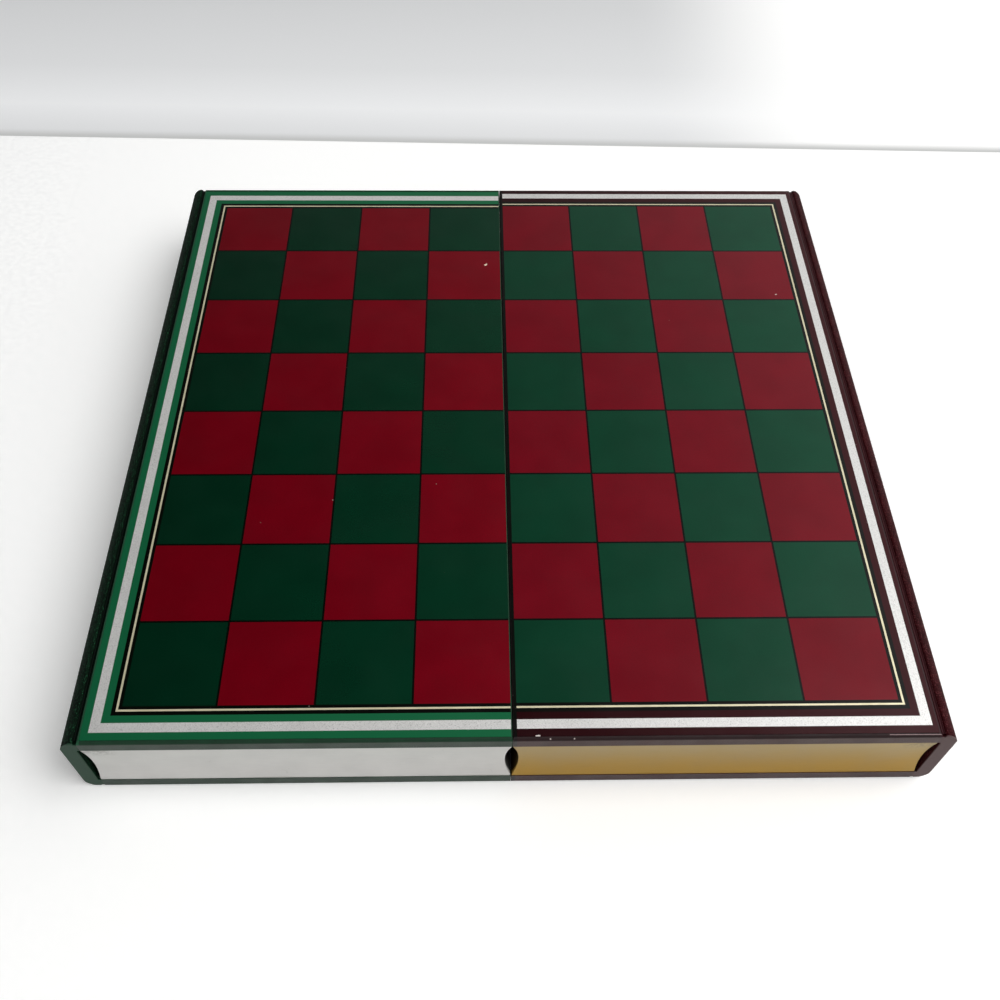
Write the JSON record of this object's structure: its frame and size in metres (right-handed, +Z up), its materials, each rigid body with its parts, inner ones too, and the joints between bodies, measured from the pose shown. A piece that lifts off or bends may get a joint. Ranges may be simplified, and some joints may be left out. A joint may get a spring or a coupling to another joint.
{
  "type": "chess set",
  "caption": "Chess set as two hollow hinged books that lie fore-edge to fore-edge, so that their covers form the board, with a tray of chessmen in each.",
  "frame": {"origin": "on the table under the middle of the board, where the two fore-edges meet", "axes": "+X from the green volume to the maroon one, across the board; +Y away from the viewer, along the spines; +Z up"},
  "size_m": [0.3474, 0.3336, 0.042],
  "materials": {
    "green_board": "satin green covering over fibreboard",
    "green_spine": "dark green leather-grain covering with fine sparkle",
    "green_joint": "matt dark green leathercloth",
    "green_pages": "silver paint with fine page lines",
    "green_felt": "green felt",
    "green_print": "satin print: dark green and dark red squares in a border",
    "maroon_board": "satin maroon covering over fibreboard",
    "maroon_spine": "dark maroon leather-grain covering with fine sparkle",
    "maroon_joint": "matt dark maroon leathercloth",
    "maroon_pages": "gold paint with fine page lines",
    "maroon_felt": "maroon felt",
    "maroon_print": "satin print: dark green and dark red squares in a border",
    "divider": "plain sanded wood",
    "magnet": "nickel plated",
    "silver_men": "satin silver-tone",
    "gold_men": "satin gold-tone"
  },
  "bodies": {
    "green_case": {"green_back_board": "green_board", "green_spine": "green_spine", "green_joint_strip": "green_joint", "green_back_joint_strip": "green_joint", "green_fore_edge_rail": "green_pages", "green_spine_rail": "green_pages", "green_head_rail": "green_pages", "green_tail_rail": "green_pages", "green_floor_lining": "green_felt", "green_long_divider": "divider", "green_cross_dividers": "divider", "green_rail_magnets": "magnet", "silver_king": "silver_men", "silver_queen": "silver_men", "silver_bishops": "silver_men", "silver_knights": "silver_men", "silver_rooks": "silver_men", "silver_pawns": "silver_men"},
    "green_cover": {"green_front_board": "green_board", "green_board_print": "green_print", "green_cover_lining": "green_felt", "green_cover_magnets": "magnet"},
    "maroon_case": {"maroon_back_board": "maroon_board", "maroon_spine": "maroon_spine", "maroon_joint_strip": "maroon_joint", "maroon_back_joint_strip": "maroon_joint", "maroon_fore_edge_rail": "maroon_pages", "maroon_spine_rail": "maroon_pages", "maroon_head_rail": "maroon_pages", "maroon_tail_rail": "maroon_pages", "maroon_floor_lining": "maroon_felt", "maroon_long_divider": "divider", "maroon_cross_dividers": "divider", "maroon_rail_magnets": "magnet", "gold_king": "gold_men", "gold_queen": "gold_men", "gold_bishops": "gold_men", "gold_knights": "gold_men", "gold_rooks": "gold_men", "gold_pawns": "gold_men"},
    "maroon_cover": {"maroon_front_board": "maroon_board", "maroon_board_print": "maroon_print", "maroon_cover_lining": "maroon_felt", "maroon_cover_magnets": "magnet"}
  },
  "joints": [
    {"name": "green_cover_hinge", "type": "hinge", "parent": "green_case", "child": "green_cover", "pos_m": [-0.16665, 0, 0.0408], "axis": [0, -1, 0], "range_deg": [0, 110], "deforming": ["green_joint_strip"]},
    {"name": "volumes_apart", "type": "slide", "parent": "green_case", "child": "maroon_case", "axis": [1, 0, 0], "range_m": [0, 0.15]},
    {"name": "maroon_cover_hinge", "type": "hinge", "parent": "maroon_case", "child": "maroon_cover", "pos_m": [0.16665, 0, 0.0408], "axis": [0, 1, 0], "range_deg": [0, 110], "deforming": ["maroon_joint_strip"]}
  ]
}
